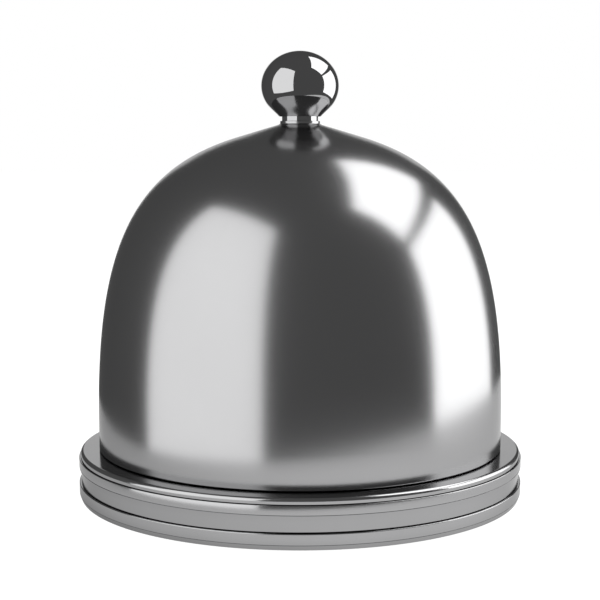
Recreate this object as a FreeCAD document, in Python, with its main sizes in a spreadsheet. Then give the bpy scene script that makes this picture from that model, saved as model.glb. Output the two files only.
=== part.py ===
import FreeCAD, Part
import math
import os
import re

import Sketcher

# Desk service bell: a tall gong on a three-layer base, rung by pressing the knob on its crown.
# Millimetres, +Z up. The origin is the centre of the face that the bell stands on, and Y
# runs from the front of the bell to its back. The knob pushes a rod down a hollow post, the
# rod tips a lever, and the lever swings a hammer out towards +X against the gong's wall.

SIZES = {
    # base
    "foot_inset": 8.2,
    "foot_thickness": 1.2,
    "foot_proud": 0.3,
    "base_radius": 42.2,
    "plate_chamfer": 0.85,
    "plate_round": 0.15,
    "bottom_plate_top": 3.1,
    "base_ring_top": 7.95,
    "base_ring_wall": 6.6,
    "waist_depth": 0.4,
    "waist_height": 1.7,
    "waist_flare": 1.35,
    "top_plate_top": 9.05,
    "bull_nose": 0.65,
    "edge_round": 0.3,
    "ballast_thickness": 4.3,
    "layer_gap": 0.1,
    # base screws
    "base_screw_inset": 3.4,
    "base_screw_radius": 1.5,
    "base_screw_head": 2.6,
    "base_screw_head_height": 1.5,
    "base_screw_depth": 0.7,
    # frame
    "frame_inside": 8.0,
    "frame_sheet": 1.5,
    "frame_back": 7.0,
    "frame_front": 10.0,
    "frame_foot_reach": 18.0,
    "frame_bend": 1.2,
    "frame_screw_place": 14.2,
    "frame_screw_radius": 1.3,
    "frame_screw_head": 2.3,
    "frame_screw_head_height": 1.5,
    "frame_screw_grip": 5.0,
    "screw_slot": 0.6,
    # post and its nuts
    "post_radius": 4.5,
    "post_length": 17.2,
    "post_floor_height": 2.0,
    "post_collar": 6.4,
    "post_collar_height": 1.4,
    "spigot_radius": 3.5,
    "spigot_length": 2.0,
    "post_nut_height": 1.8,
    "nut_width": 7.2,
    "gong_nut_height": 5.0,
    "jam_nut_height": 3.2,
    "washer_radius": 7.6,
    "washer_thickness": 0.6,
    # gong
    "gong_inset": 3.82,
    "gong_wall": 1.4,
    "gong_gap": 0.15,
    "gong_straight": 15.35,
    "gong_rise": 32.97,
    "gong_crown_radius": 11.82,
    "gong_crown_height": 67.66,
    "gong_crown_slope": 16.9,
    "gong_shoulder": 19.84,
    "handle_share": 0.44,
    "collar_radius": 6.6,
    "lip_wall": 0.25,
    "lip_rise": 1.45,
    "lip_straight": 0.4,
    "lip_bend": 0.3,
    "collar_bend": 2.2,
    "ceiling_radius": 8.6,
    "socket_depth": 1.5,
    # plunger
    "travel": 1.2,
    "knob_radius": 7.3,
    "knob_half_height": 6.5,
    "knob_rise": 6.55,
    "stem_radius": 3.4,
    "stem_gap": 0.1,
    "stem_engagement": 3.7,
    "groove_gap": 0.1,
    "groove_headroom": 0.3,
    "skirt_edge": 0.1,
    "skirt_clearance": 0.05,
    "skirt_slope": 40.0,
    "skirt_bend": 0.8,
    "flare_turn": 30.0,
    "flare_slope": 32.5,
    "flare_bend": 1.0,
    "rod_radius": 1.5,
    "rod_into_knob": 6.0,
    "slide_gap": 0.06,
    "clip_gap": 0.2,
    "clip_radius": 2.9,
    "clip_thickness": 0.7,
    "clip_mouth": 0.7,
    "tip_radius": 2.3,
    "tip_height": 3.0,
    "tip_socket": 1.4,
    "spring_radius": 2.5,
    "spring_wire": 0.55,
    "spring_turns": 8.0,
    # striker
    "pivot_place": 6.0,
    "pivot_radius": 1.2,
    "pivot_gap": 0.06,
    "pivot_overhang": 1.6,
    "pivot_clip_radius": 2.4,
    "pivot_clip_thickness": 0.6,
    "hub_radius": 2.6,
    "hub_half_width": 6.6,
    "tip_gap": 0.1,
    "pad_thickness": 0.6,
    "pad_half_length": 2.4,
    "arm_thickness": 1.3,
    "arm_half_width": 3.0,
    "boss_radius": 2.0,
    "boss_reach": 8.0,
    "hammer_rod_radius": 1.0,
    "hammer_rod_start": 3.6,
    "hammer_radius": 4.0,
    "hammer_rod_depth": 2.5,
    "hammer_nut_corner": 1.9,
    "hammer_nut_height": 2.0,
    "strike_height": 26.0,
    "strike_gap": 0.3,
    "rest_radius": 2.8,
    "rest_peg_radius": 1.4,
    "rest_peg_depth": 0.9,
    "rest_gap": 0.2,
}
FUNCTIONS = {"sin", "cos", "tan", "atan", "acos", "sqrt"}

document = FreeCAD.newDocument("service_bell")
sheet = document.addObject("Spreadsheet::Sheet", "Sizes")
for row, (word, number) in enumerate(SIZES.items(), start=1):
    sheet.set("A%d" % row, word)
    sheet.set("B%d" % row, str(number))
    sheet.setAlias("B%d" % row, word)
document.recompute()

# Values that follow from the sizes, each a formula in the same words.
FOLLOWS = {
    "foot_radius": "base_radius - foot_inset",
    "base_ring_bore": "base_radius - base_ring_wall",
    "base_screw_circle": "base_radius - base_screw_inset",
    "base_screw_top": "foot_proud + base_screw_depth + base_screw_head_height",
    "waist_radius": "base_radius - waist_depth",
    "gong_radius": "base_radius - gong_inset",
    "gong_inside": "gong_radius - gong_wall",
    "gong_rim": "top_plate_top + gong_gap",
    "collar_height": "gong_crown_height + (gong_crown_radius - collar_radius) * tan(gong_crown_slope)",
    "lip_top": "collar_height + lip_rise",
    "mouth_radius": "stem_radius + stem_gap",
    "lip_radius": "mouth_radius + lip_wall",
    "crown_inner_radius": "gong_crown_radius - gong_wall * sin(gong_crown_slope)",
    "crown_inner_height": "gong_crown_height - gong_wall * cos(gong_crown_slope)",
    "ceiling": "crown_inner_height + (crown_inner_radius - ceiling_radius) * tan(gong_crown_slope)",
    "shoulder_out": "gong_crown_radius + gong_shoulder * cos(gong_crown_slope)",
    "shoulder_down": "gong_crown_height - gong_shoulder * sin(gong_crown_slope)",
    "inner_rise": "gong_rise - handle_share * gong_wall",
    "inner_shoulder": "gong_shoulder - handle_share * gong_wall",
    "post_top": "ceiling + socket_depth",
    "frame_top": "ceiling - post_length",
    "post_floor": "frame_top + post_floor_height",
    "spigot_end": "frame_top - frame_sheet - spigot_length",
    "leg_outside": "frame_inside + frame_sheet",
    "foot_top": "top_plate_top + frame_sheet",
    "frame_middle": "(frame_front - frame_back) / 2",
    "nut_corner": "nut_width / cos(30)",
    "gong_nut_bottom": "ceiling - washer_thickness - gong_nut_height",
    "stem_bottom": "post_top - stem_engagement",
    "knob_centre": "lip_top + knob_rise",
    "groove_radius": "lip_radius + groove_gap",
    "groove_ceiling": "lip_top + travel + groove_headroom",
    "skirt_radius": "groove_radius + skirt_edge",
    "skirt_bottom": "lip_top - lip_straight + travel + skirt_clearance",
    "flare_radius": "knob_radius * cos(flare_turn)",
    "flare_height": "knob_centre - knob_half_height * sin(flare_turn)",
    "lower_handle": "4 / 3 * tan(flare_turn / 4)",
    "clip_top": "spigot_end - clip_gap",
    "tip_top": "clip_top - clip_thickness",
    "tip_end": "tip_top - tip_height",
    "pivot_height": "tip_end - tip_gap - travel / 2",
    "tilt": "atan(travel / 2 / pivot_place)",
    # how far the gong's inner wall has turned in at the height where the hammer strikes
    "strike_step": "(strike_height - gong_straight) / 3 / gong_rise",
    "strike_part": "strike_step * (1 + (2 - (shoulder_down - gong_straight) / gong_rise) * strike_step)",
    "strike_radius": "gong_inside - 3 * strike_part * strike_part * (1 - strike_part)"
                     " * (gong_radius - shoulder_out)"
                     " - strike_part * strike_part * strike_part * (gong_radius - gong_crown_radius)",
    # the hammer's place from the pivot when it is out, and at rest
    "reach": "strike_radius - hammer_radius - strike_gap - pivot_place",
    "drop": "pivot_height - strike_height",
    "arm_length": "sqrt(reach * reach + drop * drop)",
    "hammer_angle": "acos(-1 * drop / arm_length)",
    "rest_place": "pivot_place + reach * cos(2 * tilt) - drop * sin(2 * tilt)",
    "rest_top": "pivot_height - reach * sin(2 * tilt) - drop * cos(2 * tilt) - hammer_radius - rest_gap",
    "pin_end": "leg_outside + pivot_overhang",
}

nodes = []


def formula(text):
    """Turn the words of a formula into references to the sheet's cells."""
    def reference(match):
        word = match.group(0)
        if word in FOLLOWS:
            return "(" + formula(FOLLOWS[word]) + ")"
        return word if word in FUNCTIONS else "Sizes." + word
    return re.sub(r"[a-z][a-z_]*", reference, str(text))


def bind(thing, **properties):
    for name, text in properties.items():
        thing.setExpression(name.replace("__", "."), formula(text))
    return thing


def place(thing, along_x="0", along_y="0", along_z="0", turn="0", axis=(0, 1, 0)):
    thing.Placement = FreeCAD.Placement(FreeCAD.Vector(), FreeCAD.Rotation(FreeCAD.Vector(*axis), 0.1))
    return bind(thing, Placement__Base__x=along_x, Placement__Base__y=along_y,
                Placement__Base__z=along_z, Placement__Rotation__Angle=turn)


def node(label, thing):
    thing.Label = label
    nodes.append(thing)
    return thing


def cylinder(radius, height, **where):
    solid = bind(document.addObject("Part::Cylinder", "Round"), Radius=radius, Height=height)
    return place(solid, **where) if where else solid


def block(length, width, height, **where):
    solid = bind(document.addObject("Part::Box", "Block"), Length=length, Width=width, Height=height)
    return place(solid, **where) if where else solid


def hexagon(corner_radius, height, **where):
    solid = bind(document.addObject("Part::Prism", "Hexagon"), Circumradius=corner_radius, Height=height)
    solid.Polygon = 6
    return place(solid, **where) if where else solid


def cut(base, *tools):
    for tool in tools:
        result = document.addObject("Part::Cut", "Cut")
        result.Base = base
        result.Tool = tool
        base = result
    return base


def fuse(first, *others):
    for other in others:
        result = document.addObject("Part::Fuse", "Fuse")
        result.Base = first
        result.Tool = other
        first = result
    return first


def sketch_on(body, role, steps):
    """A closed outline: a step is a corner (x, y) or a curve's two handles and its far end."""
    sketch = body.newObject("Sketcher::SketchObject", "Outline")
    plane = [part for part in body.Origin.OriginFeatures if part.Role == role][0]
    sketch.AttachmentSupport = [(plane, "")]
    sketch.MapMode = "FlatFace"
    ends = [step[-1] if isinstance(step[0], tuple) else step for step in steps]
    draft = [FreeCAD.Vector(10 + 7 * math.cos(turn), 10 + 7 * math.sin(turn), 0)
             for turn in [2 * math.pi * i / len(steps) for i in range(len(steps))]]
    segments = []
    for i, step in enumerate(steps):
        start, finish = draft[i - 1], draft[i]
        if isinstance(step[0], tuple):
            poles = [start, start * 0.7 + finish * 0.3, start * 0.3 + finish * 0.7, finish]
            curve = sketch.addGeometry(Part.BSplineCurve(poles, None, None, False, 3, None, False))
            sketch.exposeInternalGeometry(curve)
            segments.append(curve)
            for number, handle in enumerate(step[:2]):
                pin(sketch, curve + 2 + number, 3, handle)
        else:
            segments.append(sketch.addGeometry(Part.LineSegment(start, finish)))
    for i, segment in enumerate(segments):
        sketch.addConstraint(Sketcher.Constraint("Coincident", segments[i - 1], 2, segment, 1))
        pin(sketch, segment, 2, ends[i])
    return sketch


def pin(sketch, geometry, point, where):
    for kind, text in zip(("DistanceX", "DistanceY"), where):
        constraint = Sketcher.Constraint(kind, -1, 1, geometry, point, 1.0)
        number = sketch.addConstraint(constraint)
        sketch.setExpression("Constraints[%d]" % number, formula(text))


def turned(steps):
    """A solid of revolution about Z, from its half outline."""
    body = document.addObject("PartDesign::Body", "Turned")
    sketch = sketch_on(body, "XZ_Plane", steps)
    document.recompute()
    solid = body.newObject("PartDesign::Revolution", "Revolution")
    solid.Profile = sketch
    solid.ReferenceAxis = (sketch, ["V_Axis"])
    solid.Angle = 360.0
    document.recompute()
    return body


def rounded(body, fillet, chosen):
    """Round the circular edges of a body for which chosen(radius, height) is true."""
    names = []
    for number, edge in enumerate(body.Shape.Edges, start=1):
        if edge.Curve.TypeId != "Part::GeomCircle":
            continue
        if chosen(edge.Curve.Radius, edge.Curve.Center.z):
            names.append("Edge%d" % number)
    tip = body.Tip
    feature = body.newObject("PartDesign::Fillet", "Fillet")
    feature.Base = (tip, names)
    bind(feature, Radius=fillet)
    document.recompute()
    return body


def near(first, second):
    return abs(first - second) < 1e-4


def screw(head, head_height, shank, grip, **where):
    """A slotted cheese-head screw: head up from 0, shank down to -grip."""
    solid = fuse(cylinder(head, head_height), cylinder(shank, grip, along_z="-1 * (%s)" % grip))
    slot = block("2 * (%s)" % head, "screw_slot", head_height, along_x="-1 * %s" % head,
                 along_y="-1 * screw_slot / 2", along_z="%s / 2" % head_height)
    return place(cut(solid, slot), **where)


def nut(corner_radius, bore, height, **where):
    blank = hexagon(corner_radius, height)
    return place(cut(blank, cylinder(bore, height)), **where)


def retaining_clip(radius, bore, thickness, **where):
    """An open E-clip: a disc with a bore and a mouth towards -X."""
    ring = cut(cylinder(radius, thickness), cylinder(bore, thickness))
    mouth = block(radius, "2 * clip_mouth * %s" % bore, thickness, along_x="-1 * %s" % radius,
                  along_y="-1 * clip_mouth * %s" % bore)
    return place(cut(ring, mouth), **where)


# Base: a rubber foot, a bottom plate, a waisted ring round a ballast disc, and a top plate.
SCREW_ANGLES = (90, 210, 330)


def holes_for_base_screws(radius, height):
    return [cylinder(radius, height, along_x="base_screw_circle * cos(%d)" % angle,
                     along_y="base_screw_circle * sin(%d)" % angle) for angle in SCREW_ANGLES]


def holes_for_frame_screws(height, from_z):
    return [cylinder("frame_screw_radius + slide_gap", height, along_x="frame_middle",
                     along_y="%d * frame_screw_place" % side, along_z=from_z) for side in (-1, 1)]


node("foot_pad", rounded(turned([
    ("0", "0"), ("foot_radius", "0"), ("foot_radius", "foot_thickness"), ("0", "foot_thickness"),
]), "edge_round", lambda radius, height: near(height, 0)))

plate = turned([
    ("0", "foot_thickness"), ("foot_radius + layer_gap", "foot_thickness"),
    ("foot_radius + layer_gap", "foot_proud"), ("base_radius - edge_round", "foot_proud"),
    ("base_radius", "foot_proud + plate_chamfer"), ("base_radius", "bottom_plate_top"),
    ("0", "bottom_plate_top"),
])
plate = rounded(plate, "plate_round", lambda radius, height: near(height, sheet.bottom_plate_top))
node("base_bottom_plate", cut(
    plate,
    *holes_for_base_screws("base_screw_head + layer_gap", "base_screw_top"),
    *holes_for_base_screws("base_screw_radius + slide_gap", "bottom_plate_top"),
))

ring = turned([
    ("base_ring_bore", "bottom_plate_top"), ("waist_radius", "bottom_plate_top"),
    ("waist_radius", "bottom_plate_top + waist_height"),
    ("base_radius", "bottom_plate_top + waist_height + waist_flare"),
    ("base_radius", "base_ring_top"), ("base_ring_bore", "base_ring_top"),
])
ring = rounded(ring, "edge_round", lambda radius, height: near(radius, sheet.base_radius)
               and near(height, sheet.base_ring_top))
node("base_ring", cut(ring, *holes_for_base_screws("base_screw_radius + slide_gap", "base_ring_top")))

node("ballast_disc", cut(
    cylinder("base_ring_bore - layer_gap", "ballast_thickness", along_z="bottom_plate_top"),
    *holes_for_frame_screws("frame_screw_grip", "foot_top - frame_screw_grip"),
))

top = turned([
    ("0", "base_ring_top"), ("base_radius - edge_round", "base_ring_top"),
    ("base_radius - edge_round", "top_plate_top"), ("0", "top_plate_top"),
])
top = rounded(top, "bull_nose", lambda radius, height: near(height, sheet.top_plate_top))
peg_hole = cylinder("rest_peg_radius", "rest_peg_depth", along_x="rest_place",
                    along_z="top_plate_top - rest_peg_depth")
node("base_top_plate", cut(top, peg_hole, *holes_for_frame_screws("top_plate_top", "0")))

for number, angle in enumerate(SCREW_ANGLES, start=1):
    node("base_screw_%d" % number, screw(
        "base_screw_head", "base_screw_head_height", "base_screw_radius",
        "base_ring_top - base_screw_top", along_x="base_screw_circle * cos(%d)" % angle,
        along_y="base_screw_circle * sin(%d)" % angle, along_z="base_screw_top",
        turn="180", axis=(1, 0, 0)))

node("hammer_rest", place(rounded(turned([
    ("0", "-1 * rest_peg_depth"), ("rest_peg_radius", "-1 * rest_peg_depth"),
    ("rest_peg_radius", "0"), ("rest_radius", "0"), ("rest_radius", "rest_top - top_plate_top"),
    ("0", "rest_top - top_plate_top"),
]), "edge_round", lambda radius, height: height > 1), along_x="rest_place", along_z="top_plate_top"))

# Frame: a strip bent into a bridge on two legs, screwed down through its feet.
strip = document.addObject("PartDesign::Body", "Strip")
outline = sketch_on(strip, "YZ_Plane", [
    ("frame_foot_reach", "top_plate_top"), ("frame_foot_reach", "foot_top"),
    ("leg_outside", "foot_top"), ("leg_outside", "frame_top"),
    ("-1 * leg_outside", "frame_top"), ("-1 * leg_outside", "foot_top"),
    ("-1 * frame_foot_reach", "foot_top"), ("-1 * frame_foot_reach", "top_plate_top"),
    ("-1 * frame_inside", "top_plate_top"), ("-1 * frame_inside", "frame_top - frame_sheet"),
    ("frame_inside", "frame_top - frame_sheet"), ("frame_inside", "top_plate_top"),
])
document.recompute()
pad = strip.newObject("PartDesign::Pad", "Pad")
pad.Profile = outline
bind(pad, Length="frame_back + frame_front")
document.recompute()
bridge_height = strip.Shape.BoundBox.ZMax
bends = []
for number, edge in enumerate(strip.Shape.Edges, start=1):
    middle = edge.CenterOfMass
    along = edge.tangentAt(edge.FirstParameter)
    if abs(along.x) > 0.9 and near(middle.z, bridge_height):
        bends.append("Edge%d" % number)
bend = strip.newObject("PartDesign::Fillet", "Bend")
bend.Base = (pad, bends)
bind(bend, Radius="frame_bend")
strip = place(strip, along_x="-1 * frame_back")
pivot_hole = cylinder("pivot_radius + pivot_gap", "2 * frame_foot_reach", along_x="pivot_place",
                      along_y="frame_foot_reach", along_z="pivot_height", turn="90", axis=(1, 0, 0))
bridge_hole = cylinder("spigot_radius + slide_gap", "2 * frame_sheet",
                       along_z="frame_top - 1.5 * frame_sheet")
node("frame", cut(strip, pivot_hole, bridge_hole,
                  *holes_for_frame_screws("2 * frame_sheet", "top_plate_top")))

for side, name in ((-1, "frame_screw_front"), (1, "frame_screw_rear")):
    node(name, screw("frame_screw_head", "frame_screw_head_height", "frame_screw_radius",
                     "frame_screw_grip", along_x="frame_middle",
                     along_y="%d * frame_screw_place" % side, along_z="foot_top"))

# Post: a hollow guide tube whose spigot is nutted to the bridge.
node("post", turned([
    ("rod_radius + slide_gap", "spigot_end"), ("spigot_radius", "spigot_end"),
    ("spigot_radius", "frame_top"), ("post_collar", "frame_top"),
    ("post_collar", "frame_top + post_collar_height"),
    ("post_radius", "frame_top + post_collar_height"), ("post_radius", "post_top"),
    ("stem_radius + stem_gap", "post_top"), ("stem_radius + stem_gap", "post_floor"),
    ("rod_radius + slide_gap", "post_floor"),
]))
node("post_nut", nut("post_collar", "spigot_radius + slide_gap", "post_nut_height",
                     along_z="frame_top - frame_sheet - post_nut_height"))
node("gong_washer", place(cut(
    cylinder("washer_radius", "washer_thickness"),
    cylinder("post_radius + slide_gap", "washer_thickness"),
), along_z="ceiling - washer_thickness"))
node("gong_nut", nut("nut_corner", "post_radius + slide_gap", "gong_nut_height",
                     along_z="gong_nut_bottom"))
node("jam_nut", nut("nut_corner", "post_radius + slide_gap", "jam_nut_height",
                    along_z="gong_nut_bottom - jam_nut_height", turn="30", axis=(0, 0, 1)))

# Gong: a spun bell that hangs on the post's top, with a slim lip round the knob's stem.
gong = turned([
    ("gong_inside", "gong_rim"),
    ("gong_inside", "gong_straight"),
    (("gong_inside", "gong_straight + inner_rise"),
     ("crown_inner_radius + inner_shoulder * cos(gong_crown_slope)",
      "crown_inner_height - inner_shoulder * sin(gong_crown_slope)"),
     ("crown_inner_radius", "crown_inner_height")),
    ("ceiling_radius", "ceiling"),
    ("post_radius", "ceiling"),
    ("post_radius", "post_top"),
    ("mouth_radius", "post_top"),
    ("mouth_radius", "lip_top"),
    ("lip_radius", "lip_top"),
    ("lip_radius", "lip_top - lip_straight"),
    (("lip_radius", "lip_top - lip_straight - lip_bend"),
     ("collar_radius - collar_bend", "collar_height + collar_bend * tan(gong_crown_slope)"),
     ("collar_radius", "collar_height")),
    ("gong_crown_radius", "gong_crown_height"),
    (("shoulder_out", "shoulder_down"),
     ("gong_radius", "gong_straight + gong_rise"),
     ("gong_radius", "gong_straight")),
    ("gong_radius", "gong_rim"),
])
rim_height = gong.Shape.BoundBox.ZMin
node("gong", rounded(gong, "edge_round", lambda radius, height: near(height, rim_height)))

# Plunger: knob, rod, return spring, retaining clip and a hard round-ended tip.
QUARTER = 4 * (math.sqrt(2) - 1) / 3
knob = turned([
    ("0", "stem_bottom"), ("stem_radius", "stem_bottom"), ("stem_radius", "groove_ceiling"),
    ("groove_radius", "groove_ceiling"), ("groove_radius", "skirt_bottom"),
    ("skirt_radius", "skirt_bottom"),
    (("skirt_radius + skirt_bend * sin(skirt_slope)", "skirt_bottom + skirt_bend * cos(skirt_slope)"),
     ("flare_radius - flare_bend * sin(flare_slope)", "flare_height - flare_bend * cos(flare_slope)"),
     ("flare_radius", "flare_height")),
    (("flare_radius + lower_handle * knob_radius * sin(flare_turn)",
      "flare_height + lower_handle * knob_half_height * cos(flare_turn)"),
     ("knob_radius", "knob_centre - lower_handle * knob_half_height"),
     ("knob_radius", "knob_centre")),
    (("knob_radius", "knob_centre + %.6f * knob_half_height" % QUARTER),
     ("%.6f * knob_radius" % QUARTER, "knob_centre + knob_half_height"),
     ("0", "knob_centre + knob_half_height")),
])
node("knob", cut(knob, cylinder("rod_radius", "rod_into_knob", along_z="stem_bottom")))
node("plunger_rod", cylinder("rod_radius", "stem_bottom + rod_into_knob - tip_end - tip_socket",
                             along_z="tip_end + tip_socket"))
node("plunger_clip", retaining_clip("clip_radius", "rod_radius", "clip_thickness",
                                    along_z="clip_top - clip_thickness"))
node("plunger_tip", turned([
    ("0", "tip_end"),
    (("%.6f * tip_radius" % QUARTER, "tip_end"),
     ("tip_radius", "tip_end + %.6f * tip_radius" % (1 - QUARTER)),
     ("tip_radius", "tip_end + tip_radius")),
    ("tip_radius", "tip_top"), ("rod_radius", "tip_top"), ("rod_radius", "tip_end + tip_socket"),
    ("0", "tip_end + tip_socket"),
]))

helix = bind(document.addObject("Part::Helix", "Coil"), Radius="spring_radius",
             Pitch="(stem_bottom - post_floor - spring_wire) / spring_turns",
             Height="stem_bottom - post_floor - spring_wire")
wire = bind(document.addObject("Part::Circle", "Wire"), Radius="spring_wire / 2")
place(wire, along_x="spring_radius", turn="90", axis=(1, 0, 0))
helix.SegmentLength = 1.0
document.recompute()
spring = document.addObject("Part::Sweep", "Spring")
spring.Sections = [wire]
spring.Spine = (helix, ["Edge%d" % number for number, _ in enumerate(helix.Shape.Edges, start=1)])
spring.Solid = True
spring.Frenet = True
node("plunger_spring", place(spring, along_z="post_floor + spring_wire / 2"))


# Striker: drawn about the pivot as it stands when the hammer is out, then turned back to rest.
def at_rest(label, solid):
    holder = document.addObject("Part::Compound", "Striker")
    holder.Links = [solid]
    return node(label, place(holder, along_x="pivot_place", along_z="pivot_height", turn="2 * tilt"))


def along_arm(solid, distance):
    """Set an upright solid on the hammer's arm, its foot at a distance from the pivot."""
    return place(solid, along_x="(%s) * reach / arm_length" % distance,
                 along_z="-1 * (%s) * drop / arm_length" % distance, turn="hammer_angle")


def across(radius, half_width):
    """A round bar along the pivot's axis."""
    return cylinder(radius, "2 * %s" % half_width, along_y=half_width, turn="90", axis=(1, 0, 0))


def short_arm(thickness, length, half_width, top):
    """A flat bar under the plunger, its upper face a given distance below the pivot's axis."""
    bar = block(length, "2 * %s" % half_width, thickness, along_x="-1 * pivot_place - pad_half_length",
                along_y="-1 * %s" % half_width, along_z="-1 * %s - %s" % (top, thickness))
    holder = document.addObject("Part::Compound", "Bar")
    holder.Links = [bar]
    return place(holder, turn="-1 * tilt")


lever = fuse(across("hub_radius", "hub_half_width"),
             short_arm("arm_thickness", "pivot_place + pad_half_length", "arm_half_width",
                       "pad_thickness"),
             along_arm(cylinder("boss_radius", "boss_reach"), "0"))
at_rest("striker_lever", cut(
    lever, across("pivot_radius + pivot_gap", "hub_half_width"),
    along_arm(cylinder("hammer_rod_radius", "boss_reach"), "hammer_rod_start")))
at_rest("lever_pad", short_arm("pad_thickness", "2 * pad_half_length", "pad_half_length", "0"))
at_rest("hammer_rod", along_arm(
    cylinder("hammer_rod_radius", "arm_length - hammer_rod_start + hammer_rod_depth"),
    "hammer_rod_start"))
ball = place(bind(document.addObject("Part::Sphere", "Ball"), Radius="hammer_radius"),
             along_x="reach", along_z="-1 * drop")
at_rest("hammer_head", cut(ball, along_arm(
    cylinder("hammer_rod_radius", "2 * hammer_radius + hammer_rod_depth"),
    "arm_length - 2 * hammer_radius")))
lock_nut = cut(hexagon("hammer_nut_corner", "hammer_nut_height"),
               cylinder("hammer_rod_radius", "hammer_nut_height"))
at_rest("hammer_nut", along_arm(lock_nut, "arm_length - hammer_radius - hammer_nut_height"))

# Pivot pin: through both legs, held by a clip at each end.
node("pivot_pin", cylinder("pivot_radius", "2 * pin_end", along_x="pivot_place", along_y="pin_end",
                           along_z="pivot_height", turn="90", axis=(1, 0, 0)))
for name, start in (("pivot_clip_front", "-1 * leg_outside"),
                    ("pivot_clip_rear", "leg_outside + pivot_clip_thickness")):
    node(name, retaining_clip("pivot_clip_radius", "pivot_radius", "pivot_clip_thickness",
                              along_x="pivot_place", along_y=start, along_z="pivot_height",
                              turn="90", axis=(1, 0, 0)))

document.recompute()
failed = [thing.Name for thing in document.Objects if {"Invalid", "Error"} & set(thing.State)]
if failed:
    raise SystemExit("failed objects: %s" % ", ".join(failed))
for thing in nodes:
    if thing.Shape.isNull() or not thing.Shape.isValid() or len(thing.Shape.Solids) != 1:
        raise SystemExit("%s is not one valid solid" % thing.Label)
os.makedirs("parts", exist_ok=True)
for thing in nodes:
    thing.Shape.exportStep("parts/%s.step" % thing.Label)
    box = thing.Shape.BoundBox
    print("%-18s %9.1f mm3  z %6.2f to %6.2f" % (thing.Label, thing.Shape.Volume, box.ZMin, box.ZMax))
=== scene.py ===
import math

import bpy
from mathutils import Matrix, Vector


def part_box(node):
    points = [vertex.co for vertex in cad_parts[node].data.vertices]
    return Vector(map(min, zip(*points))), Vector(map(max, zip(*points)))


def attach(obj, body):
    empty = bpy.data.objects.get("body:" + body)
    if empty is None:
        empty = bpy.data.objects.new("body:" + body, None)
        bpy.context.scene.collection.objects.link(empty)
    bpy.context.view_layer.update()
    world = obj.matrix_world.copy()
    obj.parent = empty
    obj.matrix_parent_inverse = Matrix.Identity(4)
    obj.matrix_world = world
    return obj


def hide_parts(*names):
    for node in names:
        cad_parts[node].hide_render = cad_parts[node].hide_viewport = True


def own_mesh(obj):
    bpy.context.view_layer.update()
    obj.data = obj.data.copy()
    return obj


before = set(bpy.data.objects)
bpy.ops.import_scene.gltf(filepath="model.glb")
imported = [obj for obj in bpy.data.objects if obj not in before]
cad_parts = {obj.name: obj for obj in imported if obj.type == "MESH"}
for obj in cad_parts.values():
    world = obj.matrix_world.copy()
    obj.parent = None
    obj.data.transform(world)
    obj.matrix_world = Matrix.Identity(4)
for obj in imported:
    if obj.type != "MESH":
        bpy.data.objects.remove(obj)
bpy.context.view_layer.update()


# Foot pad. A disc of black moulded rubber, glued into the recess of the bottom plate.
# Its lower face has shallow ring grooves, so that the bell grips a counter and doesn't creep.
def arc(centre, radii, start, stop, steps):
    """Points along a round or oval arc, from start to stop degrees, measured from the radius."""
    turns = [math.radians(start + (stop - start) * i / steps) for i in range(steps + 1)]
    return [(centre[0] + radii[0] * math.cos(t), centre[1] + radii[1] * math.sin(t)) for t in turns]


def turned(name, outline, steps=240):
    """Spin an outline of (radius, height) points about the bell's axis into a closed piece."""
    bpy.ops.object.select_all(action="DESELECT")
    bpy.ops.mesh.primitive_plane_add(size=0.001, location=(0, 0, 0))
    piece = bpy.context.object
    piece.name = name
    bpy.ops.object.mode_set(mode="EDIT")
    bpy.ops.mesh.merge(type="CENTER")
    bpy.ops.transform.translate(value=(outline[0][0], 0, outline[0][1]))
    for before, after in zip(outline, outline[1:]):
        step = (after[0] - before[0], 0, after[1] - before[1])
        bpy.ops.mesh.extrude_vertices_move(TRANSFORM_OT_translate={"value": step})
    bpy.ops.mesh.select_all(action="SELECT")
    bpy.ops.mesh.spin(steps=steps, angle=2 * math.pi, center=(0, 0, 0), axis=(0, 0, 1))
    bpy.ops.mesh.select_all(action="SELECT")
    bpy.ops.mesh.remove_doubles(threshold=1e-6)
    bpy.ops.mesh.normals_make_consistent(inside=False)
    bpy.ops.object.mode_set(mode="OBJECT")
    bpy.ops.object.shade_smooth_by_angle(angle=math.radians(35))
    return piece


def stands_for(piece, node, body, material):
    """Give a new piece its material and its body, and hide the plain node that it stands for."""
    piece.data.materials.append(material)
    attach(piece, body)
    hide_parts(node)


def new_material(name, **values):
    """A metal or plastic with plain values on its shader's own sockets."""
    material = bpy.data.materials.new(name)
    material.use_nodes = True
    shader = material.node_tree.nodes["Principled BSDF"]
    for socket, value in values.items():
        shader.inputs[socket.replace("_", " ")].default_value = value
    return material


def maths(tree, operation, first, second=0.0, third=0.0):
    """One step of arithmetic on numbers or on other steps."""
    node = tree.nodes.new("ShaderNodeMath")
    node.operation = operation
    for socket, value in zip(node.inputs, (first, second, third)):
        if isinstance(value, (int, float)):
            socket.default_value = value
        else:
            tree.links.new(value, socket)
    return node.outputs[0]


def placed(tree):
    """Object coordinates: the whole, its three parts, and the distance from the bell's axis."""
    place = tree.nodes.new("ShaderNodeTexCoord").outputs["Object"]
    parts = tree.nodes.new("ShaderNodeSeparateXYZ")
    tree.links.new(place, parts.inputs[0])
    squares = [maths(tree, "MULTIPLY", parts.outputs[axis], parts.outputs[axis]) for axis in "XY"]
    return place, parts.outputs, maths(tree, "SQRT", maths(tree, "ADD", *squares))


def noise(tree, vector, scale, detail):
    """Soft noise, whose scale is a number or a socket of the group."""
    node = tree.nodes.new("ShaderNodeTexNoise")
    node.inputs["Detail"].default_value = detail
    tree.links.new(vector, node.inputs["Vector"])
    if isinstance(scale, (int, float)):
        node.inputs["Scale"].default_value = scale
    else:
        tree.links.new(scale, node.inputs["Scale"])
    return node.outputs["Fac"]


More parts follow.
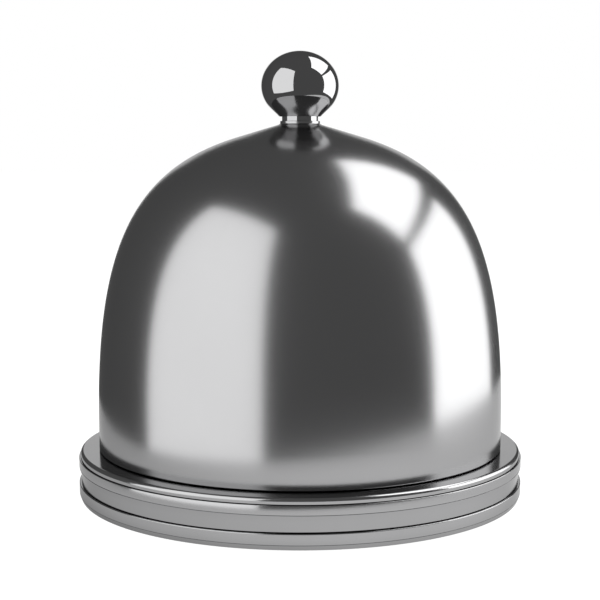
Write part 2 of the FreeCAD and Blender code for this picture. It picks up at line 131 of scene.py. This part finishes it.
def surface_group():
    """Shared surface: tool lines round the axis, soft clouds of handling, and fine grit."""
    group = bpy.data.node_groups.new("worked_surface", "ShaderNodeTree")
    sockets = (("Base Color", "NodeSocketColor"), ("Tint", "NodeSocketColor"),
               ("Roughness", "NodeSocketFloat"), ("Spread", "NodeSocketFloat"),
               ("Line Scale", "NodeSocketFloat"), ("Line Depth", "NodeSocketFloat"),
               ("Grit Scale", "NodeSocketFloat"), ("Grit Depth", "NodeSocketFloat"))
    for name, kind in sockets:
        group.interface.new_socket(name, in_out="INPUT", socket_type=kind)
    for name, kind in (("Color", "NodeSocketColor"), ("Roughness", "NodeSocketFloat"),
                       ("Normal", "NodeSocketVector")):
        group.interface.new_socket(name, in_out="OUTPUT", socket_type=kind)
    nodes, links = group.nodes, group.links
    given = nodes.new("NodeGroupInput").outputs
    result = nodes.new("NodeGroupOutput").inputs
    place, parts, radius = placed(group)
    ringed = nodes.new("ShaderNodeCombineXYZ")
    links.new(radius, ringed.inputs["X"])
    links.new(parts["Z"], ringed.inputs["Z"])
    lines = noise(group, ringed.outputs[0], given["Line Scale"], 2.0)
    clouds = noise(group, place, 70.0, 4.0)
    grit = noise(group, place, given["Grit Scale"], 3.0)

    rough = given["Roughness"]
    for pattern in (clouds, lines):
        swing = maths(group, "MULTIPLY", maths(group, "SUBTRACT", pattern, 0.5), given["Spread"])
        rough = maths(group, "ADD", rough, swing)
    links.new(rough, result["Roughness"])
    tint = nodes.new("ShaderNodeMix")
    tint.data_type = "RGBA"
    links.new(clouds, tint.inputs["Factor"])
    links.new(given["Base Color"], tint.inputs["A"])
    links.new(given["Tint"], tint.inputs["B"])
    links.new(tint.outputs["Result"], result["Color"])
    height = maths(group, "ADD", maths(group, "MULTIPLY", lines, given["Line Depth"]),
                   maths(group, "MULTIPLY", grit, given["Grit Depth"]))
    bump = nodes.new("ShaderNodeBump")
    bump.inputs["Distance"].default_value = 0.0001
    links.new(height, bump.inputs["Height"])
    links.new(bump.outputs["Normal"], result["Normal"])
    return group


worked_surface = surface_group()


def worked(name, base, tint, metallic, roughness, spread=0.04, line_scale=9000.0, line_depth=0.0,
           grit_scale=4000.0, grit_depth=0.0, **values):
    """A material whose colour, roughness and relief come from the shared surface."""
    material = new_material(name, Metallic=metallic, **values)
    tree = material.node_tree
    surface = tree.nodes.new("ShaderNodeGroup")
    surface.node_tree = worked_surface
    settings = {"Base Color": base + (1,), "Tint": tint + (1,), "Roughness": roughness,
                "Spread": spread, "Line Scale": line_scale, "Line Depth": line_depth,
                "Grit Scale": grit_scale, "Grit Depth": grit_depth}
    for socket, value in settings.items():
        surface.inputs[socket].default_value = value
    shader = tree.nodes["Principled BSDF"]
    for output, socket in (("Color", "Base Color"), ("Roughness", "Roughness"), ("Normal", "Normal")):
        tree.links.new(surface.outputs[output], shader.inputs[socket])
    return material


rubber = worked("black_rubber", (0.018, 0.018, 0.019), (0.035, 0.035, 0.036), 0.0, 0.72, spread=0.2,
                grit_scale=5200.0, grit_depth=0.5)
foot_low, foot_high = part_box("foot_pad")
foot_edge = foot_high.x
foot_round = 0.0003
groove_count = 7
groove_inset = 0.0024
groove_pitch = 0.004
groove_width = 0.0014
groove_side = 0.0003
groove_depth = 0.0003
foot_outline = [(0.0, foot_high.z), (foot_edge, foot_high.z)]
foot_outline += arc((foot_edge - foot_round, foot_low.z + foot_round), (foot_round, foot_round),
                    0, -90, 4)
for ring in range(groove_count):
    outer = foot_edge - groove_inset - ring * groove_pitch
    inner = outer - groove_width
    foot_outline += [(outer, foot_low.z), (outer - groove_side, foot_low.z + groove_depth),
                     (inner + groove_side, foot_low.z + groove_depth), (inner, foot_low.z)]
foot_outline.append((0.0, foot_low.z))
stands_for(turned("foot_pad_rubber", foot_outline, 160), "foot_pad", "stand", rubber)


# Bottom plate. A polished, nickel-plated steel disc, chamfered at the foot and rounded at the seam.
# It is recessed for the foot pad, and counterbored near its edge for the three base screws.
nickel = worked("polished_nickel", (0.42, 0.42, 0.424), (0.38, 0.38, 0.384), 1.0, 0.14, spread=0.03,
                line_scale=14000.0, line_depth=0.02, Specular_Tint=(0.7, 0.7, 0.7, 1))


def scribed(edge, height, half_width, depth):
    """A fine line cut round the side of a turned piece."""
    return [(edge - 0.00001, height - half_width), (edge - depth, height),
            (edge, height + half_width)]


plate_low, plate_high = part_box("base_bottom_plate")
plate_edge = plate_high.x
pad_recess = foot_edge + 0.0001
chamfer_width = 0.0003
chamfer_height = 0.00085
plate_round = 0.00015
plate_outline = [(0.0, foot_high.z), (pad_recess, foot_high.z), (pad_recess, plate_low.z),
                 (plate_edge - chamfer_width, plate_low.z)]
plate_outline += scribed(plate_edge, plate_low.z + chamfer_height, 0.00005, 0.00008)
plate_outline += arc((plate_edge - plate_round, plate_high.z - plate_round),
                     (plate_round, plate_round), 0, 90, 5)
plate_outline.append((0.0, plate_high.z))


def drilled(piece, node, radius, low, high):
    """Bore a round hole in a new piece, on the axis of a screw or peg."""
    node_low, node_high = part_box(node)
    bpy.ops.object.select_all(action="DESELECT")
    bpy.ops.mesh.primitive_cylinder_add(vertices=48, radius=radius, depth=high - low,
                                        location=((node_low.x + node_high.x) / 2,
                                                  (node_low.y + node_high.y) / 2, (low + high) / 2))
    drill = bpy.context.object
    bpy.context.view_layer.objects.active = piece
    hole = piece.modifiers.new("hole", "BOOLEAN")
    hole.operation = "DIFFERENCE"
    hole.solver = "EXACT"
    hole.object = drill
    bpy.ops.object.modifier_apply(modifier=hole.name)
    bpy.data.objects.remove(drill)
    piece.select_set(True)
    bpy.ops.object.shade_smooth_by_angle(angle=math.radians(35))


past = 0.001
screw_hole = 0.00156
head_hole = 0.0027
head_height = 0.0015
base_screws = ("base_screw_1", "base_screw_2", "base_screw_3")
plate = turned("base_bottom_plate_polished", plate_outline)
for screw in base_screws:
    drilled(plate, screw, head_hole, -past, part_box(screw)[0].z + head_height)
    drilled(plate, screw, screw_hole, -past, plate_high.z + past)
stands_for(plate, "base_bottom_plate", "stand", nickel)


# Base ring. The middle layer: a nickel-plated ring with a shallow waist above the lower seam.
# It is turned from tube, with its edges broken, so that each seam is a fine open crevice.
ring_low, ring_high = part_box("base_ring")
base_edge = ring_high.x
waist = base_edge - 0.0004
waist_top = ring_low.z + 0.0017
ring_bore = base_edge - 0.0066
seam_width = 0.00012
seam_depth = 0.0012
break_edge = 0.0001
scribe = ring_low.z + 0.00305
ring_outline = [(ring_bore, ring_low.z), (waist - seam_depth, ring_low.z),
                (waist - seam_depth, ring_low.z + seam_width)]
ring_outline += arc((waist - break_edge, ring_low.z + seam_width + break_edge),
                    (break_edge, break_edge), 270, 360, 4)
ring_outline.append((waist, waist_top))
ring_outline += scribed(base_edge, scribe, 0.00006, 0.00009)
ring_outline += arc((base_edge - break_edge, ring_high.z - seam_width - break_edge),
                    (break_edge, break_edge), 0, 90, 4)
ring_outline += [(base_edge - seam_depth, ring_high.z - seam_width),
                 (base_edge - seam_depth, ring_high.z), (ring_bore, ring_high.z),
                 (ring_bore, ring_low.z)]
ring = turned("base_ring_polished", ring_outline)
for screw in base_screws:
    drilled(ring, screw, screw_hole, ring_low.z - past, ring_high.z + past)
stands_for(ring, "base_ring", "stand", nickel)


# Ballast. A cast-iron disc that lies inside the ring and gives the bell its weight.
# It is blackened against rust, and the frame's screws are tapped into it.
def finish(material, *nodes):
    """Give plain nodes that keep their own shape a better material."""
    for node in nodes:
        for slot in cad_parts[node].material_slots:
            slot.material = material


cast_iron = worked("blackened_iron", (0.045, 0.043, 0.042), (0.09, 0.086, 0.082), 0.6, 0.66,
                   spread=0.3, grit_scale=2600.0, grit_depth=0.9)
finish(cast_iron, "ballast_disc")


# Top plate. The upper layer of the base: a polished, nickel-plated steel disc with a broad rounded
# edge. It closes the ring, and has holes for the frame's screws and the peg of the hammer's rest.
top_low, top_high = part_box("base_top_plate")
top_edge = top_high.x
bull_nose = 0.00065
top_outline = [(0.0, top_low.z), (top_edge, top_low.z)]
top_outline += arc((top_edge - bull_nose, top_high.z - bull_nose), (bull_nose, bull_nose),
                   0, 90, 20)
top_outline.append((0.0, top_high.z))
top_plate = turned("base_top_plate_polished", top_outline)
frame_hole = 0.00136
peg_hole = 0.0014
frame_screws = ("frame_screw_front", "frame_screw_rear")
for screw in frame_screws:
    drilled(top_plate, screw, frame_hole, top_low.z - past, top_high.z + past)
drilled(top_plate, "hammer_rest", peg_hole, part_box("hammer_rest")[0].z, top_high.z + past)
stands_for(top_plate, "base_top_plate", "stand", nickel)


# Screws. Slotted cheese-head screws in zinc-plated steel, with tool marks round their heads.
# Three pull the ring and the plates together from below, and two hold the frame's feet.
zinc = worked("zinc_screw", (0.50, 0.51, 0.53), (0.38, 0.39, 0.41), 1.0, 0.34, spread=0.16,
              line_scale=7000.0, line_depth=0.05, grit_scale=6000.0, grit_depth=0.04)
finish(zinc, *base_screws, *frame_screws)


# Frame. A strip of zinc-plated steel bent into a bridge over the lever, with its rolling marks.
# Its feet are screwed down through the top plate, and its legs carry the pivot pin.
strip_steel = worked("zinc_strip", (0.52, 0.53, 0.55), (0.42, 0.43, 0.46), 1.0, 0.36, spread=0.2,
                     line_scale=2500.0, line_depth=0.05, grit_scale=3000.0, grit_depth=0.08)
finish(strip_steel, "frame")


# Turned steel. The post and its nuts, the rods, the tip, the lever and the pin are bright bar,
# with fine lathe lines. The post stands in the frame's bridge, held by a nut, and guides the rod.
bright_bar = worked("bright_bar", (0.55, 0.55, 0.56), (0.44, 0.44, 0.46), 1.0, 0.26, spread=0.12,
                    line_scale=11000.0, line_depth=0.10)
finish(bright_bar, "post", "post_nut", "gong_nut", "jam_nut", "plunger_rod", "plunger_tip",
       "striker_lever", "hammer_rod", "hammer_nut", "pivot_pin")


# Fibre washer. Red vulcanised fibre, punched from sheet, between the gong and its nut.
# It keeps the clamped gong from touching steel all round, so that it rings freely.
fibre = worked("red_fibre", (0.30, 0.055, 0.03), (0.20, 0.04, 0.025), 0.0, 0.62, spread=0.15,
               grit_scale=3500.0, grit_depth=0.5)
finish(fibre, "gong_washer")


# Return spring and clips. Drawn spring wire and spring sheet, oiled and dark. The spring stands on
# the post's floor round the rod, under the knob's stem, which presses it shorter; it is wound here at
# its full length.
drawn_wire = worked("drawn_wire", (0.36, 0.36, 0.38), (0.24, 0.24, 0.26), 1.0, 0.3, spread=0.15,
                    line_scale=16000.0, line_depth=0.05)
finish(drawn_wire, "plunger_clip", "pivot_clip_front", "pivot_clip_rear")
spring_low, spring_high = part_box("plunger_spring")
wire_radius = 0.000275
coil_radius = spring_high.x - wire_radius
coil_turns = 8
coil_height = spring_high.z - spring_low.z
bpy.ops.object.select_all(action="DESELECT")
bpy.ops.mesh.primitive_circle_add(vertices=16, radius=wire_radius,
                                  rotation=(math.radians(90), 0, 0),
                                  location=(coil_radius, 0, spring_low.z + wire_radius))
spring = bpy.context.object
spring.name = "plunger_spring_coil"
bpy.ops.object.transform_apply(location=True, rotation=True, scale=False)
winding = spring.modifiers.new("winding", "SCREW")
winding.screw_offset = (coil_height - 2 * wire_radius) / coil_turns
winding.iterations = coil_turns
winding.steps = winding.render_steps = 48
bpy.ops.object.modifier_apply(modifier=winding.name)
bpy.ops.object.mode_set(mode="EDIT")
bpy.ops.mesh.select_all(action="SELECT")
bpy.ops.mesh.fill_holes(sides=0)
bpy.ops.mesh.select_all(action="SELECT")
bpy.ops.mesh.normals_make_consistent(inside=False)
bpy.ops.object.mode_set(mode="OBJECT")
bpy.ops.object.shade_smooth_by_angle(angle=math.radians(50))
stands_for(spring, "plunger_spring", "stand", drawn_wire)
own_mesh(spring)


# Hammer. A turned brass ball on the end of its steel rod, which strikes the gong from inside.
# The plunger works the lever through a pad of white nylon.
brass = worked("turned_brass", (0.74, 0.52, 0.22), (0.60, 0.40, 0.16), 1.0, 0.24, spread=0.14,
               line_scale=9000.0, line_depth=0.05)
finish(brass, "hammer_head")
nylon = worked("white_nylon", (0.76, 0.74, 0.69), (0.70, 0.67, 0.61), 0.0, 0.45, spread=0.1,
               grit_scale=3000.0, grit_depth=0.15)
finish(nylon, "lever_pad")


# Hammer rest. A stop of the same black rubber as the foot pad, pegged into the top plate.
# The hammer's head lies on it when the knob is up.
finish(rubber, "hammer_rest")


# Gong. A tall bell spun from steel sheet, nickel-plated and satin-polished, with a slim lip round
# the knob's stem. Its rim hangs a hair above the top plate and touches nothing.
def curve(start, first, second, finish_at, steps):
    """Points along a cubic curve, after its start."""
    points = []
    for i in range(1, steps + 1):
        t = i / steps
        weights = ((1 - t) ** 3, 3 * t * (1 - t) ** 2, 3 * t * t * (1 - t), t ** 3)
        ends = (start, first, second, finish_at)
        points.append(tuple(sum(w * e[axis] for w, e in zip(weights, ends)) for axis in (0, 1)))
    return points


gong_low, gong_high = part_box("gong")
gong_edge = gong_high.x
wall = 0.0014
slope = math.radians(16.9)
straight = 0.01535
rise = 0.03297
shoulder = 0.01984
crown = (0.01182, 0.06766)
lip = 0.00375
mouth = 0.0035
lip_straight = 0.0004
lip_bend = 0.0003
lip_round = 0.0001
rim_round = 0.0003
handle_share = 0.44
socket_radius = 0.0045
socket_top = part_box("post")[1].z
collar_radius = 0.0066
collar = (collar_radius, crown[1] + (crown[0] - collar_radius) * math.tan(slope))
collar_bend = 0.0022
ceiling_radius = 0.0086
inner_edge = gong_edge - wall
inner_crown = (crown[0] - wall * math.sin(slope), crown[1] - wall * math.cos(slope))
ceiling = inner_crown[1] + (inner_crown[0] - ceiling_radius) * math.tan(slope)
inner_shoulder = shoulder - handle_share * wall
gong_outline = [(gong_edge, straight)]
gong_outline += curve(gong_outline[-1], (gong_edge, straight + rise),
                      (crown[0] + shoulder * math.cos(slope), crown[1] - shoulder * math.sin(slope)),
                      crown, 72)
gong_outline.append(collar)
gong_outline += curve(collar,
                      (collar_radius - collar_bend, collar[1] + collar_bend * math.tan(slope)),
                      (lip, gong_high.z - lip_straight - lip_bend),
                      (lip, gong_high.z - lip_straight), 20)
gong_outline += arc((lip - lip_round, gong_high.z - lip_round), (lip_round, lip_round), 30, 90, 3)
gong_outline += [(mouth, gong_high.z), (mouth, socket_top), (socket_radius, socket_top),
                 (socket_radius, ceiling), (ceiling_radius, ceiling), inner_crown]
gong_outline += curve(inner_crown,
                      (inner_crown[0] + inner_shoulder * math.cos(slope),
                       inner_crown[1] - inner_shoulder * math.sin(slope)),
                      (inner_edge, straight + rise - handle_share * wall),
                      (inner_edge, straight), 48)
for radius, start in ((inner_edge + rim_round, 180), (gong_edge - rim_round, 270)):
    gong_outline += arc((radius, gong_low.z + rim_round), (rim_round, rim_round),
                        start, start + 90, 5)
gong_outline.append(gong_outline[0])
satin = worked("satin_nickel", (0.41, 0.41, 0.414), (0.39, 0.39, 0.394), 1.0, 0.20, spread=0.015,
               line_scale=12000.0, line_depth=0.012, Specular_Tint=(0.7, 0.7, 0.7, 1))
stands_for(turned("gong_satin", gong_outline, 288), "gong", "stand", satin)


# Knob. A mirror-polished steel button on a slim stem that slides through the gong's mouth.
# A groove under its skirt clears the gong's lip when it is pressed, and its bore takes the rod.
def leaning(length, degrees):
    """A curve's handle of that length, leaning outwards from upright."""
    return (length * math.sin(math.radians(degrees)), length * math.cos(math.radians(degrees)))


knob_low, knob_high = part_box("knob")
knob_radius = knob_high.x
half_height = 0.0065
knob_centre = (0.0, knob_high.z - half_height)
stem = 0.0034
groove = 0.00385
groove_ceiling = gong_high.z + 0.0015
skirt = (0.00395, gong_high.z + 0.00085)
skirt_handle = leaning(0.0008, 40)
flare_start = -30
flare = (knob_radius * math.cos(math.radians(flare_start)),
         knob_centre[1] + half_height * math.sin(math.radians(flare_start)))
flare_handle = leaning(0.001, 32.5)
bore = 0.0015
bore_top = knob_low.z + 0.006
knob_outline = [(0.0, bore_top), (bore, bore_top), (bore, knob_low.z), (stem, knob_low.z),
                (stem, groove_ceiling), (groove, groove_ceiling), (groove, skirt[1]), skirt]
knob_outline += curve(skirt, (skirt[0] + skirt_handle[0], skirt[1] + skirt_handle[1]),
                      (flare[0] - flare_handle[0], flare[1] - flare_handle[1]), flare, 24)
knob_outline += arc(knob_centre, (knob_radius, half_height), flare_start, 90, 96)[1:]
mirror = worked("mirror_chrome", (0.41, 0.41, 0.414), (0.39, 0.39, 0.394), 1.0, 0.035, spread=0.012,
                line_scale=14000.0, line_depth=0.003, Specular_Tint=(0.7, 0.7, 0.7, 1))
stands_for(turned("knob_mirror", knob_outline, 192), "knob", "plunger", mirror)


# Room. A pale table top and soft boxes: a large grey one to the left, a bright two-pane one to
# the right and a low one behind. The rest of the room is dark, as polished metal shows it.
def pane(name, side, low_edge, high_edge, width, power):
    """A soft box seen from the bell at side degrees from the front, its edges (distance, height)."""
    middle = [(low_edge[i] + high_edge[i]) / 2 for i in (0, 1)]
    turn = math.radians(side)
    lean = math.atan2(low_edge[0] - high_edge[0], high_edge[1] - low_edge[1])
    data = bpy.data.lights.new(name, "AREA")
    data.shape = "RECTANGLE"
    data.size = width
    data.size_y = math.dist(low_edge, high_edge)
    data.energy = power * data.size * data.size_y
    lamp = bpy.data.objects.new(name, data)
    bpy.context.scene.collection.objects.link(lamp)
    lamp.location = (middle[0] * math.sin(turn), -middle[0] * math.cos(turn), middle[1])
    lamp.rotation_euler = (math.radians(90) - lean, 0, turn)
    return lamp


pane("left_panel", -54.5, (0.5, -0.15), (0.5, 0.78), 0.70, 4.95)
pane("right_lower_pane", 103.5, (0.5, -0.12), (0.5, 0.36), 0.52, 8.4)
pane("right_upper_pane", 108, (0.49, 0.425), (0.26, 0.74), 0.63, 8.4)
pane("back_panel", 180, (0.6, -0.08), (0.6, 0.25), 0.40, 2.4)

bpy.ops.object.select_all(action="DESELECT")
bpy.ops.mesh.primitive_plane_add(size=6.0, location=(0, 0, 0))
table = bpy.context.object
table.name = "table_top"
table.visible_glossy = False
table.data.materials.append(worked(
    "pale_laminate", (0.30, 0.30, 0.30), (0.30, 0.30, 0.30), 0.0, 0.7, Emission_Strength=0.97,
    Emission_Color=(1, 1, 1, 1), Specular_IOR_Level=0.0))


# Table as the polish shows it. An emitting disc under the bell, seen only in reflections. Its
# emission paints light brighter on the window's side and the soft shadow that the base drops round
# itself, deepest on the side away from the window.
bpy.ops.mesh.primitive_circle_add(vertices=96, radius=0.122, fill_type="NGON",
                                  location=(0.028, 0.022, -0.0002))
bpy.ops.object.transform_apply(location=True, rotation=False, scale=False)
near_table = bpy.context.object
near_table.name = "near_table_top"
near_table.visible_camera = False
near_table.visible_diffuse = False
# This material paints the table's light and the base's shadow into its emission; it is no lamp.
shaded = new_material("painted_shadow_emission", Base_Color=(0.08, 0.08, 0.08, 1), Roughness=0.7,
                      Specular_IOR_Level=0.0, Emission_Color=(1, 1, 1, 1))
tree = shaded.node_tree
place, parts, distance = placed(tree)
sideways = maths(tree, "MULTIPLY", parts["X"], 14.0)
sideways = maths(tree, "MINIMUM", maths(tree, "MAXIMUM", sideways, -1.0), 1.0)
fading = maths(tree, "MULTIPLY", maths(tree, "SUBTRACT", distance, base_edge), 250.0)
fading = maths(tree, "POWER", 0.5, fading)
# Painted shadow: the emission is dimmed near the base's edge, most on the side away from the window.
shadow = maths(tree, "MULTIPLY", fading, maths(tree, "MULTIPLY_ADD", sideways, -0.30, 0.36))
# Painted light: the emission is brighter on the window's side.
painted_side_light = maths(tree, "MULTIPLY_ADD", sideways, -0.16, 0.15)
painted_side_light = maths(tree, "MULTIPLY_ADD", sideways, painted_side_light, 0.90)
painted_emission = maths(tree, "MULTIPLY", painted_side_light, maths(tree, "SUBTRACT", 1.0, shadow))
tree.links.new(painted_emission, tree.nodes["Principled BSDF"].inputs["Emission Strength"])
near_table.data.materials.append(shaded)


# Surroundings. The room is dark to whatever mirrors it, and plain white behind the bell.
# The camera stands a little above the bell's middle and looks slightly down at it.
world = bpy.data.worlds.new("room")
bpy.context.scene.world = world
world.use_nodes = True
tree = world.node_tree
dark = tree.nodes["Background"]
dark.inputs["Color"].default_value = (0.13, 0.13, 0.13, 1)
bright = tree.nodes.new("ShaderNodeBackground")
bright.inputs["Color"].default_value = (1, 1, 1, 1)
seen = tree.nodes.new("ShaderNodeLightPath")
mix = tree.nodes.new("ShaderNodeMixShader")
tree.links.new(seen.outputs["Is Camera Ray"], mix.inputs["Fac"])
tree.links.new(dark.outputs[0], mix.inputs[1])
tree.links.new(bright.outputs[0], mix.inputs[2])
tree.links.new(mix.outputs[0], tree.nodes["World Output"].inputs["Surface"])
bpy.context.scene.view_settings.view_transform = "Standard"

camera_data = bpy.data.cameras.new("camera")
camera_data.lens = 81.6
camera = bpy.data.objects.new("camera", camera_data)
bpy.context.scene.collection.objects.link(camera)
camera.location = (0.0, -0.2583, 0.06633)
looks_down = 6.53
camera.rotation_euler = (math.radians(90 - looks_down), 0, 0)
bpy.context.scene.camera = camera
